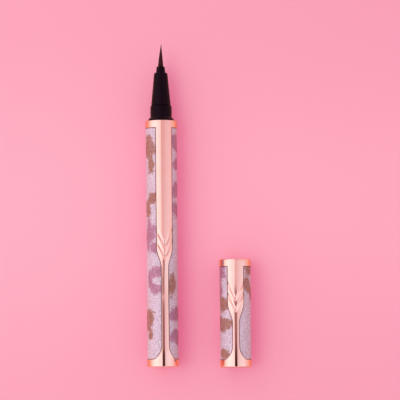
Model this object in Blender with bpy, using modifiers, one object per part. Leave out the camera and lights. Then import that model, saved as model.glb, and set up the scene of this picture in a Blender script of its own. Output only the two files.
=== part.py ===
# A liquid eyeliner pen lying on its side, with its cap taken off and laid beside it.
# Metres, +Z up. Both axes run along Y: the pen's tip and the cap's closed end point to +Y.
# Each piece is modelled upright about its own Z axis, front towards -Y, and laid down by its frame.

import math
from collections import namedtuple

import bmesh
import bpy
import numpy as np

for old in list(bpy.data.objects):
    bpy.data.objects.remove(old)

mm = 0.001

# Places of the pen and the cap on the table
axis_spacing = 28.65 * mm
cap_lag = 0.36 * mm
pen_roll = math.radians(10.8)
cap_roll = math.radians(0.9)

# Clearances
push_fit = 0.1 * mm
face_gap = 0.1 * mm
panel_gap = 0.2 * mm
slide_fit = 0.1 * mm

# Plated casing, the same section on the pen and the cap
casing_radius = 6.25 * mm
casing_wall = 0.5 * mm
ring_height = 2.8 * mm
ring_chamfer = 0.2 * mm
lip_height = 0.8 * mm
lip_width = 0.55 * mm
spine_half_width = 3.12 * mm
flare_spread = 2.88 * mm
flare_height = 5.6 * mm
panel_recess = 0.22 * mm

# Moulded V grooves across the spines
vee_angle = math.radians(63.5)
vee_width = 0.45 * mm
vee_tip_width = 0.3 * mm
vee_depth = 0.14 * mm

# Pen casing
barrel_length = 96.9 * mm
barrel_stem_half_width = 1.38 * mm
barrel_neck_foot = 38.6 * mm
barrel_neck_height = 8.0 * mm
barrel_vee_rise = 3.1 * mm
barrel_vee_pitch = 4.2 * mm

# Cap casing
cap_length = 42.3 * mm
cap_stem_half_width = 1.22 * mm
cap_neck_foot = 17.0 * mm
cap_neck_height = 8.0 * mm
cap_vee_rise = 3.95 * mm
cap_vee_pitch = 4.4 * mm
cap_corner_radius = 0.75 * mm
cap_dome_height = 0.3 * mm

# Inside the barrel
sleeve_wall = 0.45 * mm
tail_disc_thickness = 1.5 * mm
tail_spigot_length = 4.6 * mm
tail_seal_thickness = 0.84 * mm
tail_seal_height = 2.2 * mm
tank_wall = 0.6 * mm
gasket_thickness = 0.8 * mm
ball_radius = 2.0 * mm
ball_height = 30.0 * mm
collector_core_radius = 2.4 * mm
fin_count = 7
fin_thickness = 0.6 * mm
feed_reach = 1.2 * mm

# Black front end, heights above the barrel's ring
skirt_length = 15.9 * mm
flange_rise = 0.75 * mm
shoulder_rise = 1.6 * mm
collar_rise = 6.1 * mm
collar_swell = 0.08 * mm
collar_chamfer = 0.15 * mm
collar_ledge = 0.32 * mm
cone_rise = 19.35 * mm
cone_chamfer = 0.2 * mm
cone_rounding = 0.6 * mm
cone_end_width = 0.85 * mm
cone_seat_width = 0.87 * mm
cone_spigot_length = 6.4 * mm
collector_headroom = 1.0 * mm
holder_radius = 1.84 * mm
holder_taper = 0.2 * mm
holder_wall = 0.7 * mm
holder_show = 2.35 * mm
holder_length = 18.6 * mm
holder_chamfer = 0.15 * mm

# Brush
brush_root_length = 6.2 * mm
brush_length = 9.0 * mm
strand_rows = 8
brush_tip_share = 0.07
strand_end_share = 0.6
strand_stagger_share = 0.3
golden_share = 0.618

# Inside the cap
mouth_recess = 0.4 * mm
mouth_clearance = 0.15 * mm
mouth_depth = 1.6 * mm
grip_length = 6.0 * mm
cap_liner_wall = 0.65 * mm
ledge_width = 0.63 * mm
top_disc_flange = 0.8 * mm
plug_thickness = 1.0 * mm
inner_cap_flange = 1.2 * mm
inner_cap_flange_width = 0.7 * mm
inner_cap_wall = 1.1 * mm
inner_cap_end = 1.0 * mm
inner_cap_seat = 0.25 * mm
inner_cap_seat_depth = 2.4 * mm
spring_room = 5.9 * mm
spring_wire = 0.44 * mm
spring_radius = 2.6 * mm
spring_turns = 4.5
spring_boss_radius = 1.9 * mm
spring_boss_height = 0.8 * mm

# Modelling
turn_steps = 40
inner_steps = 24
arc_steps = 6
neck_steps = 8
corner_steps = 4
spring_steps = 10
seal_steps = 6
cut_overrun = 1.0 * mm
weld_distance = 0.001 * mm

# Radii that follow from the casing and the brush holder
casing_bore = casing_radius - casing_wall
lip_radius = casing_bore - lip_width
sleeve_radius = casing_bore - push_fit
sleeve_bore = sleeve_radius - sleeve_wall
core_radius = sleeve_bore - push_fit
tank_bore = core_radius - tank_wall
spigot_radius = tank_bore - push_fit
chamber_bore = sleeve_radius - cap_liner_wall
grip_bore = chamber_bore - ledge_width
collar_radius = grip_bore - slide_fit - collar_swell
cone_foot_radius = collar_radius - collar_ledge
cone_spigot_radius = cone_foot_radius - cone_seat_width
cone_head_radius = holder_radius + cone_end_width
cone_bore = holder_radius + push_fit
holder_tip_radius = holder_radius - holder_taper
holder_bore = holder_radius - holder_wall
feed_radius = holder_bore - push_fit
flare_radius = (flare_height**2 + flare_spread**2) / (2 * flare_spread)

# Heights that follow on the pen, above its tail
sleeve_foot = tail_disc_thickness + face_gap
skirt_foot = barrel_length - skirt_length
gasket_foot = skirt_foot - face_gap - gasket_thickness
tank_head = gasket_foot - face_gap
collar_head = barrel_length + collar_rise
cone_foot = collar_head + face_gap
cone_spigot_foot = cone_foot - cone_spigot_length
cone_head = barrel_length + cone_rise
collector_foot = skirt_foot + face_gap
collector_head = cone_spigot_foot - collector_headroom
collector_length = collector_head - collector_foot
holder_head = cone_head + holder_show
brush_foot = holder_head + face_gap
pen_length = brush_foot + brush_length

# Heights that follow on the cap, above its mouth
ledge_height = mouth_recess + mouth_depth + grip_length
disc_head = cap_length - lip_height - face_gap
disc_foot = disc_head - top_disc_flange
plug_head = disc_foot - face_gap
plug_foot = plug_head - plug_thickness
inner_cap_foot = ledge_height + face_gap
inner_cap_head = plug_foot - spring_room

pen_foot_y = cap_lag - (pen_length + cap_lag) / 2
cap_foot_y = pen_foot_y - cap_lag

barrel_vee_tip = barrel_neck_foot + barrel_vee_rise
cap_vee_tip = cap_neck_foot + cap_vee_rise

Cage = namedtuple("Cage", "length stem_half_width neck_foot neck_height vee_tips")
barrel = Cage(
    barrel_length,
    barrel_stem_half_width,
    barrel_neck_foot,
    barrel_neck_height,
    (barrel_vee_tip, barrel_vee_tip + barrel_vee_pitch),
)
cap = Cage(
    cap_length,
    cap_stem_half_width,
    cap_neck_foot,
    cap_neck_height,
    (cap_vee_tip, cap_vee_tip + cap_vee_pitch),
)


def collection(name):
    made = bpy.data.collections.new(name)
    bpy.context.scene.collection.children.link(made)
    return made


parts = collection("eyeliner_pen")
cutters = collection("cutters")
cutters.hide_render = True


def finish(name, colour, roughness, metallic=0.0):
    made = bpy.data.materials.new(name)
    made.use_nodes = True
    shader = made.node_tree.nodes["Principled BSDF"]
    shader.inputs["Base Color"].default_value = (*colour, 1.0)
    shader.inputs["Roughness"].default_value = roughness
    shader.inputs["Metallic"].default_value = metallic
    made.diffuse_color = (*colour, 1.0)
    return made


rose_gold = finish("rose_gold_plating", (0.95, 0.56, 0.48), 0.16, 1.0)
glitter = finish("lavender_glitter", (0.62, 0.44, 0.56), 0.55, 0.3)
black_plastic = finish("black_plastic", (0.012, 0.010, 0.013), 0.38)
white_plastic = finish("white_plastic", (0.78, 0.78, 0.76), 0.45)
tank_plastic = finish("tank_plastic", (0.55, 0.57, 0.60), 0.3)
soft_seal = finish("soft_seal", (0.05, 0.05, 0.05), 0.7)
felt = finish("ink_felt", (0.16, 0.10, 0.09), 0.9)
bristle = finish("brown_bristle", (0.07, 0.012, 0.012), 0.5)
steel = finish("steel", (0.60, 0.60, 0.62), 0.22, 1.0)


def frame(name, x, y, roll):
    # Lays its pieces down: their Z axis goes along +Y, and their front turns up and then by roll to +X.
    made = bpy.data.objects.new(name, None)
    made.location = (x, y, casing_radius)
    made.rotation_euler = (-math.pi / 2, roll, 0)
    made.empty_display_size = casing_radius
    parts.objects.link(made)
    return made


pen_frame = frame("pen_frame", -axis_spacing / 2, pen_foot_y, pen_roll)
cap_frame = frame("cap_frame", axis_spacing / 2, cap_foot_y, cap_roll)


def add(name, mesh, material, parent):
    made = bpy.data.objects.new(name, mesh)
    mesh.materials.append(material)
    made.parent = parent
    parts.objects.link(made)
    return made


def add_cutter(name, mesh, parent):
    made = bpy.data.objects.new(name, mesh)
    made.parent = parent
    made.hide_render = True
    made.display_type = "WIRE"
    cutters.objects.link(made)
    return made


def turn(part, steps):
    screw = part.modifiers.new("turn", "SCREW")
    screw.steps = steps
    screw.render_steps = steps
    screw.use_smooth_shade = True
    screw.use_merge_vertices = True
    screw.merge_threshold = weld_distance


def profile_mesh(name, profile):
    # Points are (radius, height) down the outer side. A profile off the axis closes on itself.
    mesh = bpy.data.meshes.new(name)
    count = len(profile)
    edges = [(i, i + 1) for i in range(count - 1)]
    if profile[0][0] > 0:
        edges.append((count - 1, 0))
    mesh.from_pydata([(radius, 0, height) for radius, height in profile], edges, [])
    return mesh


def turned(name, profile, material, parent, steps=turn_steps):
    made = add(name, profile_mesh(name, profile), material, parent)
    turn(made, steps)
    return made


def turned_cutter(name, profile, parent):
    made = add_cutter(name, profile_mesh(name, profile), parent)
    turn(made, turn_steps)
    return made


def combine(part, operation, other):
    step = part.modifiers.new(other.name, "BOOLEAN")
    step.operation = operation
    step.solver = "EXACT"
    step.object = other


def prisms(name, outlines, parent):
    # Each outline is a list of (x, z) points, pushed from front to back through the whole casing.
    reach = casing_radius + cut_overrun
    bm = bmesh.new()
    for outline in outlines:
        face = bm.faces.new([bm.verts.new((x, -reach, z)) for x, z in outline])
        grown = bmesh.ops.extrude_face_region(bm, geom=[face])
        moved = [item for item in grown["geom"] if isinstance(item, bmesh.types.BMVert)]
        bmesh.ops.translate(bm, vec=(0, 2 * reach, 0), verts=moved)
    bmesh.ops.recalc_face_normals(bm, faces=bm.faces)
    mesh = bpy.data.meshes.new(name)
    bm.to_mesh(mesh)
    bm.free()
    return add_cutter(name, mesh, parent)


def window(cage, side, inset):
    # The edge of one window seen from the front: up the flare's arc, the stem and the neck's S to the ring.
    foot = ring_height + inset
    head = cage.length - ring_height - inset
    outside = casing_radius + cut_overrun
    radius = flare_radius - inset
    centre_x = cage.stem_half_width + flare_radius
    centre_z = ring_height + flare_height
    sweep = math.asin((centre_z - foot) / radius)
    points = [(outside, head), (outside, foot)]
    for step in range(arc_steps + 1):
        angle = sweep * (1 - step / arc_steps)
        points.append((centre_x - radius * math.cos(angle), centre_z - radius * math.sin(angle)))
    for step in range(neck_steps + 1):
        share = step / neck_steps
        growth = (spine_half_width - cage.stem_half_width) * (1 - math.cos(math.pi * share)) / 2
        height = cage.neck_foot + cage.neck_height * share
        points.append((cage.stem_half_width + growth + inset, height))
    points.append((spine_half_width + inset, head))
    return [(side * x, z) for x, z in points]


def vee(tip):
    # A band of even width that rises from its blunt tip to both sides past the spine's edges.
    reach = spine_half_width + cut_overrun
    blunt = vee_tip_width / 2
    rise = (reach - blunt) * math.tan(vee_angle)
    band = vee_width / math.cos(vee_angle)
    lower = [(-reach, tip + rise), (-blunt, tip), (blunt, tip), (reach, tip + rise)]
    return lower + [(x, z + band) for x, z in reversed(lower)]


def cut_cage(part, name, cage, parent):
    windows = prisms(name + "_windows", [window(cage, side, 0) for side in (-1, 1)], parent)
    combine(part, "DIFFERENCE", windows)
    vees = prisms(name + "_vees", [vee(tip) for tip in cage.vee_tips], parent)
    floor = casing_radius - vee_depth
    core = [(0, cage.length), (floor, cage.length), (floor, 0), (0, 0)]
    combine(vees, "DIFFERENCE", turned_cutter(name + "_vee_floor", core, parent))
    combine(part, "DIFFERENCE", vees)


def panels(name, cage, parent):
    # Two curved inserts that fill the windows, a little below the cage's surface.
    outer = casing_radius - panel_recess
    head = cage.length - ring_height - panel_gap
    foot = ring_height + panel_gap
    ring = [(outer, head), (outer, foot), (casing_bore, foot), (casing_bore, head)]
    for side, word in ((-1, "left"), (1, "right")):
        panel = turned(f"{name}_panel_{word}", ring, glitter, parent)
        outline = prisms(f"{name}_{word}_outline", [window(cage, side, panel_gap)], parent)
        combine(panel, "INTERSECT", outline)


def barrel_cage():
    edge = casing_radius - ring_chamfer
    lip_foot = barrel_length - lip_height
    profile = [
        (edge, barrel_length),
        (casing_radius, barrel_length - ring_chamfer),
        (casing_radius, ring_chamfer),
        (edge, 0),
        (casing_bore, 0),
        (casing_bore, lip_foot),
        (lip_radius, lip_foot),
        (lip_radius, barrel_length),
    ]
    part = turned("barrel_cage", profile, rose_gold, pen_frame)
    cut_cage(part, "barrel", barrel, pen_frame)


def barrel_liner():
    head = barrel_length - lip_height - face_gap
    profile = [
        (sleeve_radius, head),
        (sleeve_radius, sleeve_foot),
        (sleeve_bore, sleeve_foot),
        (sleeve_bore, head),
    ]
    turned("barrel_liner", profile, white_plastic, pen_frame, inner_steps)


def tail_plug():
    head = tail_disc_thickness + tail_spigot_length
    middle = tail_disc_thickness + tail_seal_height
    half = tail_seal_thickness / 2 + face_gap
    groove = spigot_radius - tail_seal_thickness - push_fit
    profile = [
        (0, head),
        (spigot_radius, head),
        (spigot_radius, middle + half),
        (groove, middle + half),
        (groove, middle - half),
        (spigot_radius, middle - half),
        (spigot_radius, tail_disc_thickness),
        (sleeve_radius, tail_disc_thickness),
        (sleeve_radius, 0),
        (0, 0),
    ]
    turned("tail_plug", profile, rose_gold, pen_frame, inner_steps)


def tail_seal():
    thickness = tail_seal_thickness
    bpy.ops.mesh.primitive_torus_add(
        major_segments=inner_steps,
        minor_segments=seal_steps,
        major_radius=spigot_radius - thickness / 2,
        minor_radius=thickness / 2,
    )
    mesh = bpy.context.object.data
    bpy.data.objects.remove(bpy.context.object)
    mesh.shade_smooth()
    seal = add("tail_seal", mesh, soft_seal, pen_frame)
    seal.location.z = tail_disc_thickness + tail_seal_height


def ink_tank():
    profile = [
        (core_radius, tank_head),
        (core_radius, sleeve_foot),
        (tank_bore, sleeve_foot),
        (tank_bore, tank_head),
    ]
    turned("ink_tank", profile, tank_plastic, pen_frame, inner_steps)


def mixing_ball():
    # It lies at the bottom of the tank: straight down is the frame's +Y turned back by the pen's roll.
    bm = bmesh.new()
    bmesh.ops.create_uvsphere(bm, u_segments=inner_steps, v_segments=inner_steps // 2, radius=ball_radius)
    mesh = bpy.data.meshes.new("mixing_ball")
    bm.to_mesh(mesh)
    bm.free()
    mesh.shade_smooth()
    ball = add("mixing_ball", mesh, steel, pen_frame)
    drop = tank_bore - ball_radius - slide_fit
    ball.location = (drop * math.sin(pen_roll), drop * math.cos(pen_roll), ball_height)


def tank_gasket():
    head = gasket_foot + gasket_thickness
    profile = [
        (core_radius, head),
        (core_radius, gasket_foot),
        (tank_bore, gasket_foot),
        (tank_bore, head),
    ]
    turned("tank_gasket", profile, soft_seal, pen_frame, inner_steps)


def front_collar():
    shoulder = barrel_length + shoulder_rise
    swell_height = (shoulder + collar_head) / 2
    bore_head = collector_head + face_gap
    spigot_bore = cone_spigot_radius + push_fit
    profile = [
        (collar_radius - collar_chamfer, collar_head),
        (collar_radius, collar_head - collar_chamfer),
        (collar_radius + collar_swell, swell_height),
        (collar_radius, shoulder),
        (core_radius, barrel_length + flange_rise),
        (core_radius, skirt_foot),
        (tank_bore, skirt_foot),
        (tank_bore, bore_head),
        (spigot_bore, bore_head),
        (spigot_bore, collar_head),
    ]
    turned("front_collar", profile, black_plastic, pen_frame)


def collector():
    pitch = (collector_length - fin_thickness) / (fin_count - 1)
    bore = feed_radius + push_fit
    profile = []
    for fin in range(fin_count):
        head = collector_head - fin * pitch
        foot = head - fin_thickness
        rim = [(spigot_radius, head), (spigot_radius, foot)]
        profile += [(collector_core_radius, head)] * (fin > 0) + rim
        profile += [(collector_core_radius, foot)] * (fin < fin_count - 1)
    profile += [(bore, collector_foot), (bore, collector_head)]
    turned("collector", profile, white_plastic, pen_frame, inner_steps)


def nozzle_cone():
    profile = [
        (cone_head_radius - cone_rounding, cone_head),
        (cone_head_radius - cone_rounding / 3, cone_head - cone_rounding / 3),
        (cone_head_radius, cone_head - cone_rounding),
        (cone_foot_radius, cone_foot + cone_chamfer),
        (cone_foot_radius - cone_chamfer, cone_foot),
        (cone_spigot_radius, cone_foot),
        (cone_spigot_radius, cone_spigot_foot),
        (cone_bore, cone_spigot_foot),
        (cone_bore, cone_head),
    ]
    turned("nozzle_cone", profile, black_plastic, pen_frame)


def brush_holder():
    foot = holder_head - holder_length
    profile = [
        (holder_tip_radius - holder_chamfer, holder_head),
        (holder_tip_radius, holder_head - holder_chamfer),
        (holder_radius, cone_head),
        (holder_radius, foot),
        (holder_bore, foot),
        (holder_bore, holder_head),
    ]
    turned("brush_holder", profile, black_plastic, pen_frame)


def feed_rod():
    foot = collector_foot + feed_reach
    head = brush_foot - brush_root_length - face_gap
    profile = [(0, head), (feed_radius, head), (feed_radius, foot), (0, foot)]
    turned("feed_rod", profile, felt, pen_frame, inner_steps)


def brush():
    # A hexagon of small triangles, rounded into a disc. Each triangle grows one strand that thins to
    # its end, and all strands lean to the axis at one rate, so that none crosses another.
    root_radius = holder_bore - push_fit
    bm = bmesh.new()
    bmesh.ops.create_circle(bm, cap_ends=True, cap_tris=True, segments=6, radius=root_radius)
    bmesh.ops.subdivide_edges(bm, edges=bm.edges[:], cuts=strand_rows - 1, use_grid_fill=True)
    sides = [k * math.pi / 3 for k in range(6)]
    for vert in bm.verts:
        reach = vert.co.xy.length
        if reach > 0:
            # The farthest of the six side directions gives the hexagon that the point lies on.
            across = max(vert.co.x * math.cos(side) + vert.co.y * math.sin(side) for side in sides)
            vert.co.xy = vert.co.xy * across / (math.cos(math.pi / 6) * reach)
        vert.co.z = brush_foot
    tops = bm.faces[:]
    bmesh.ops.recalc_face_normals(bm, faces=tops)
    if tops[0].normal.z < 0:
        bmesh.ops.reverse_faces(bm, faces=tops)
    rim = [edge for edge in bm.edges if edge.is_boundary]
    root = bmesh.ops.extrude_edge_only(bm, edges=rim)["geom"]
    down = [item for item in root if isinstance(item, bmesh.types.BMVert)]
    bmesh.ops.translate(bm, vec=(0, 0, -brush_root_length), verts=down)
    bmesh.ops.holes_fill(bm, edges=[edge for edge in bm.edges if edge.is_boundary], sides=0)
    strands = bmesh.ops.extrude_discrete_faces(bm, faces=tops)["faces"]
    for count, strand in enumerate(strands):
        centre = strand.calc_center_median()
        stagger = (count * golden_share) % 1
        height = 1 - strand_stagger_share * stagger * centre.xy.length / root_radius
        lean = 1 - (1 - brush_tip_share) * height
        for vert in strand.verts:
            across = centre.xy + (vert.co.xy - centre.xy) * strand_end_share
            vert.co.xy = across * lean
            vert.co.z = brush_foot + brush_length * height
    bmesh.ops.recalc_face_normals(bm, faces=bm.faces)
    mesh = bpy.data.meshes.new("brush")
    bm.to_mesh(mesh)
    bm.free()
    add("brush", mesh, bristle, pen_frame)


def cap_cage():
    lip_foot = cap_length - lip_height
    profile = []
    for step in range(corner_steps + 1):
        angle = math.pi / 2 * step / corner_steps
        across = casing_radius - cap_corner_radius * (1 - math.sin(angle))
        profile.append((across, cap_length - cap_corner_radius * (1 - math.cos(angle))))
    profile += [
        (casing_radius, ring_chamfer),
        (casing_radius - ring_chamfer, 0),
        (casing_bore, 0),
        (casing_bore, lip_foot),
        (lip_radius, lip_foot),
        (lip_radius, cap_length),
    ]
    part = turned("cap_cage", profile, rose_gold, cap_frame)
    cut_cage(part, "cap", cap, cap_frame)


def cap_top_disc():
    # The button fills the casing's end with a shallow dome, an arc of a large circle.
    button = lip_radius - push_fit
    dome_radius = (button**2 + cap_dome_height**2) / (2 * cap_dome_height)
    profile = []
    for step in range(corner_steps + 1):
        across = button * step / corner_steps
        drop = dome_radius - math.sqrt(dome_radius**2 - across**2)
        profile.append((across, cap_length + cap_dome_height - drop))
    profile += [
        (button, disc_head),
        (sleeve_radius, disc_head),
        (sleeve_radius, disc_foot),
        (0, disc_foot),
    ]
    turned("cap_top_disc", profile, rose_gold, cap_frame)


def cap_liner():
    # A wide mouth clears the pen's flange, a narrower bore grips the collar, and its ledge holds the
    # inner cap in the chamber above.
    mouth_bore = core_radius + mouth_clearance
    mouth_head = mouth_recess + mouth_depth
    profile = [
        (sleeve_radius, plug_head),
        (sleeve_radius, mouth_recess),
        (mouth_bore, mouth_recess),
        (mouth_bore, mouth_head),
        (grip_bore, mouth_head),
        (grip_bore, ledge_height),
        (chamber_bore, ledge_height),
        (chamber_bore, plug_head),
    ]
    turned("cap_liner", profile, white_plastic, cap_frame, inner_steps)


def inner_cap():
    flange = chamber_bore - slide_fit
    body = flange - inner_cap_flange_width
    bore = body - inner_cap_wall
    seat = bore + inner_cap_seat
    profile = [
        (0, inner_cap_head + spring_boss_height),
        (spring_boss_radius, inner_cap_head + spring_boss_height),
        (spring_boss_radius, inner_cap_head),
        (body, inner_cap_head),
        (body, inner_cap_foot + inner_cap_flange),
        (flange, inner_cap_foot + inner_cap_flange),
        (flange, inner_cap_foot),
        (seat + inner_cap_seat, inner_cap_foot),
        (seat, inner_cap_foot + inner_cap_seat),
        (bore, inner_cap_foot + inner_cap_seat_depth),
        (bore, inner_cap_head - inner_cap_end),
        (0, inner_cap_head - inner_cap_end),
    ]
    turned("inner_cap", profile, white_plastic, cap_frame, inner_steps)


def cap_plug():
    plug_radius = chamber_bore - push_fit
    profile = [
        (0, plug_head),
        (plug_radius, plug_head),
        (plug_radius, plug_foot),
        (spring_boss_radius, plug_foot),
        (spring_boss_radius, plug_foot - spring_boss_height),
        (0, plug_foot - spring_boss_height),
    ]
    turned("cap_plug", profile, white_plastic, cap_frame, inner_steps)


def inner_cap_spring():
    foot = inner_cap_head + face_gap + spring_wire / 2
    head = plug_foot - face_gap - spring_wire / 2
    count = round(spring_turns * spring_steps) + 1
    share = np.linspace(0, 1, count)
    angle = 2 * math.pi * spring_turns * share
    points = np.stack(
        [spring_radius * np.cos(angle), spring_radius * np.sin(angle), foot + (head - foot) * share],
        axis=1,
    )
    turn_gaps = np.linalg.norm(points[spring_steps:] - points[:-spring_steps], axis=1) - spring_wire
    print(f"inner_cap_spring: least gap between turns {turn_gaps.min() / mm:.2f} mm")
    curve = bpy.data.curves.new("inner_cap_spring", "CURVE")
    curve.dimensions = "3D"
    curve.bevel_depth = spring_wire / 2
    curve.bevel_resolution = 1
    curve.use_fill_caps = True
    wire = curve.splines.new("POLY")
    wire.points.add(count - 1)
    for point, place in zip(wire.points, points):
        point.co = (*place, 1)
    add("inner_cap_spring", curve, steel, cap_frame)


barrel_cage()
panels("barrel", barrel, pen_frame)
barrel_liner()
tail_plug()
tail_seal()
ink_tank()
mixing_ball()
tank_gasket()
front_collar()
collector()
nozzle_cone()
brush_holder()
feed_rod()
brush()
cap_cage()
panels("cap", cap, cap_frame)
cap_top_disc()
cap_liner()
inner_cap()
inner_cap_spring()
cap_plug()
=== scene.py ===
import math

import bmesh
import bpy
import numpy as np
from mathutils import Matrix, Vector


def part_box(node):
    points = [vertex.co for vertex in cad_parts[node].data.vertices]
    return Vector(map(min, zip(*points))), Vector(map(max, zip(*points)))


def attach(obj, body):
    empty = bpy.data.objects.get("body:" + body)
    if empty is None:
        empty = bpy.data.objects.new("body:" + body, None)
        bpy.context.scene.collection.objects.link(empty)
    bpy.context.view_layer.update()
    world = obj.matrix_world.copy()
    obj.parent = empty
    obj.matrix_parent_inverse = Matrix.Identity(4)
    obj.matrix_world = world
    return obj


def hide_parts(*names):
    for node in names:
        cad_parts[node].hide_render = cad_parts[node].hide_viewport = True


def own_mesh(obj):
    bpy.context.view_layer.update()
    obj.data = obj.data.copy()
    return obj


# A liquid eyeliner pen with its cap lying beside it, dressed for its render.
# Shared frame: metres, +Z up, both axes along +Y. Pieces are measured in millimetres and made in metres.
# Materials, stage, light and camera are in metres, and scales of noise and cells are per metre.
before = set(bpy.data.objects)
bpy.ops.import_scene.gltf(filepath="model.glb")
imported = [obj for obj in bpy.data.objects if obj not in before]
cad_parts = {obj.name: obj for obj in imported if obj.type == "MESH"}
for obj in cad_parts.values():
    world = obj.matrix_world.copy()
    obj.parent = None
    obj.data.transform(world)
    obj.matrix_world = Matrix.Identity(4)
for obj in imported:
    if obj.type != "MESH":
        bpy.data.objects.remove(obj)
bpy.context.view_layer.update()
mm = 0.001
tiny = 1e-6


def resting(node, rollDegrees):
    # Where a turned piece lies: its axis, its foot along +Y and the roll of its front.
    low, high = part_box(node)
    return {
        "x": (low.x + high.x) / 2 / mm,
        "y": low.y / mm,
        "z": (low.z + high.z) / 2 / mm,
        "radius": round((high.x - low.x) / 2 / mm, 2),
        "length": (high.y - low.y) / mm,
        "roll": math.radians(rollDegrees),
    }


penPlace = resting("barrel_cage", 10.8)
capPlace = resting("cap_cage", 0.9)
print("frame read: pen axis x", round(penPlace["x"], 3), "cap axis x", round(capPlace["x"], 3))


# Mesh helpers

def lay(points, place):
    # Upright to lying: height goes along +Y, the front (-Y) turns up and then rolls towards +X.
    x, y, height = points[..., 0], points[..., 1], points[..., 2]
    cosRoll, sinRoll = math.cos(place["roll"]), math.sin(place["roll"])
    across = x * cosRoll - y * sinRoll
    up = -x * sinRoll - y * cosRoll
    return np.stack([place["x"] + across, place["y"] + height, place["z"] + up], -1) * mm


def around(radius, angle, height):
    # Cylinder coordinates, with angle 0 at the front and growing towards +X.
    return np.stack([radius * np.sin(angle), -radius * np.cos(angle), height + 0 * radius], -1)


def edgeDrop(distance, radius):
    # How far a quarter-round edge has fallen at a distance from the surface's end, by Pythagoras.
    return radius * (1 - np.sqrt(1 - np.clip(1 - distance / radius, 0, 1) ** 2))


def skin(name, points, quads, place):
    mesh = bpy.data.meshes.new(name)
    laid = lay(points.reshape(-1, 3), place)
    mesh.vertices.add(len(laid))
    mesh.vertices.foreach_set("co", laid.ravel())
    mesh.loops.add(quads.size)
    mesh.loops.foreach_set("vertex_index", quads.ravel())
    mesh.polygons.add(len(quads))
    mesh.polygons.foreach_set("loop_start", np.arange(0, quads.size, 4))
    mesh.update(calc_edges=True)
    return mesh


def closeUp(mesh, sharpDegrees=50, weld=0.0004 * mm, strands=False):
    # Poles and seams are welded, and only true corners stay sharp. The open ends of strands get a face
    # each instead, and all their shading is smooth. Faces turn outwards.
    work = bmesh.new()
    work.from_mesh(mesh)
    if strands:
        bmesh.ops.holes_fill(work, edges=[edge for edge in work.edges if edge.is_boundary], sides=0)
    else:
        bmesh.ops.remove_doubles(work, verts=work.verts, dist=weld)
    bmesh.ops.recalc_face_normals(work, faces=work.faces)
    work.to_mesh(mesh)
    work.free()
    mesh.shade_smooth()
    if not strands:
        mesh.set_sharp_from_angle(angle=math.radians(sharpDegrees))


def writeField(mesh, name, values):
    # A number on every point of the mesh, for its material
    mesh.attributes.new(name, "FLOAT", "POINT").data.foreach_set("value", values.ravel().astype(np.float32))


def newObject(name, data):
    made = bpy.data.objects.new(name, data)
    bpy.context.scene.collection.objects.link(made)
    return made


def piece(mesh, finish, body, replaced=""):
    # finish is a material with the name of its slot.
    made, (material, slot) = newObject(mesh.name, mesh), finish
    mesh.materials.append(material)
    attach(made, body)
    if replaced:
        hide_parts(replaced)
    return made


def stepped(*numbers):
    # Corners of an outline with square steps: radii and heights in turn, and each corner keeps one of them.
    pairs = zip(numbers, numbers[1:])
    return [(after, at) if k % 2 else (at, after) for k, (at, after) in enumerate(pairs)]


def softened(outline, soften, steps=4, most=0.4):
    # Each corner of a closed outline becomes a short curve that starts and ends soften away from it, but
    # at most this share of its shorter side.
    corner = np.asarray(outline, float)
    before = np.roll(corner, 1, axis=0) - corner
    after = np.roll(corner, -1, axis=0) - corner
    lengthBefore = np.linalg.norm(before, axis=1, keepdims=True)
    lengthAfter = np.linalg.norm(after, axis=1, keepdims=True)
    onAxis = corner[:, :1] < tiny
    reach = np.where(onAxis, 0, np.minimum(soften, most * np.minimum(lengthBefore, lengthAfter)))
    start = corner + before / lengthBefore * reach
    end = corner + after / lengthAfter * reach
    t = np.linspace(0, 1, steps + 1)[None, :, None]
    curve = (1 - t) ** 2 * start[:, None] + 2 * t * (1 - t) * corner[:, None] + t**2 * end[:, None]
    return curve.reshape(-1, 2)


def ringQuads(rows, columns, closed=False):
    # Faces between rows of points whose columns run round a ring. Closed joins the last row to the first.
    i, j = np.meshgrid(np.arange(rows if closed else rows - 1), np.arange(columns), indexing="ij")
    row, nextRow, nextJ = i * columns, (i + 1) % rows * columns, (j + 1) % columns
    return np.stack([row + j, row + nextJ, nextRow + nextJ, nextRow + j], -1).reshape(-1, 4)


def turned(name, outline, place, finish, body, replaced, soften=0.12, turns=96):
    # A closed outline of (radius, height) points carried once round the axis.
    profile = softened(outline, soften) if soften else np.asarray(outline, float)
    angle = np.linspace(0, 2 * math.pi, turns, endpoint=False)
    radius, height = profile[:, None, 0], profile[:, None, 1]
    points = around(radius + 0 * angle, angle + 0 * radius, height + 0 * angle)
    mesh = skin(name, points, ringQuads(len(profile), turns, True), place)
    closeUp(mesh)
    return piece(mesh, finish, body, replaced)


def shellQuads(kept, wraps):
    # kept marks the cells of a grid that hold wall. The outer and inner skins share the grid, and a
    # strip joins them along every edge where a kept cell meets a missing one.
    rows, columns = kept.shape
    width = columns if wraps else columns + 1
    inner = (rows + 1) * width
    i, j = np.nonzero(kept)
    nextJ = (j + 1) % width
    a, b = i * width + j, i * width + nextJ
    c, d = (i + 1) * width + nextJ, (i + 1) * width + j
    quads = [np.stack([a, b, c, d], -1), np.stack([a, d, c, b], -1) + inner]
    padded = np.pad(kept, 1)
    if wraps:
        padded[1:-1, 0], padded[1:-1, -1] = kept[:, -1], kept[:, 0]
    for start, end, di, dj in ((a, b, -1, 0), (b, c, 0, 1), (c, d, 1, 0), (d, a, 0, -1)):
        bare = ~padded[i + 1 + di, j + 1 + dj]
        s, e = start[bare], end[bare]
        quads.append(np.stack([e, s, s + inner, e + inner], -1))
    return np.concatenate(quads)


# Materials

def newMaterial(name):
    made = bpy.data.materials.new(name)
    made.use_nodes = True
    tree = made.node_tree
    return made, tree, tree.nodes["Principled BSDF"]


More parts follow.
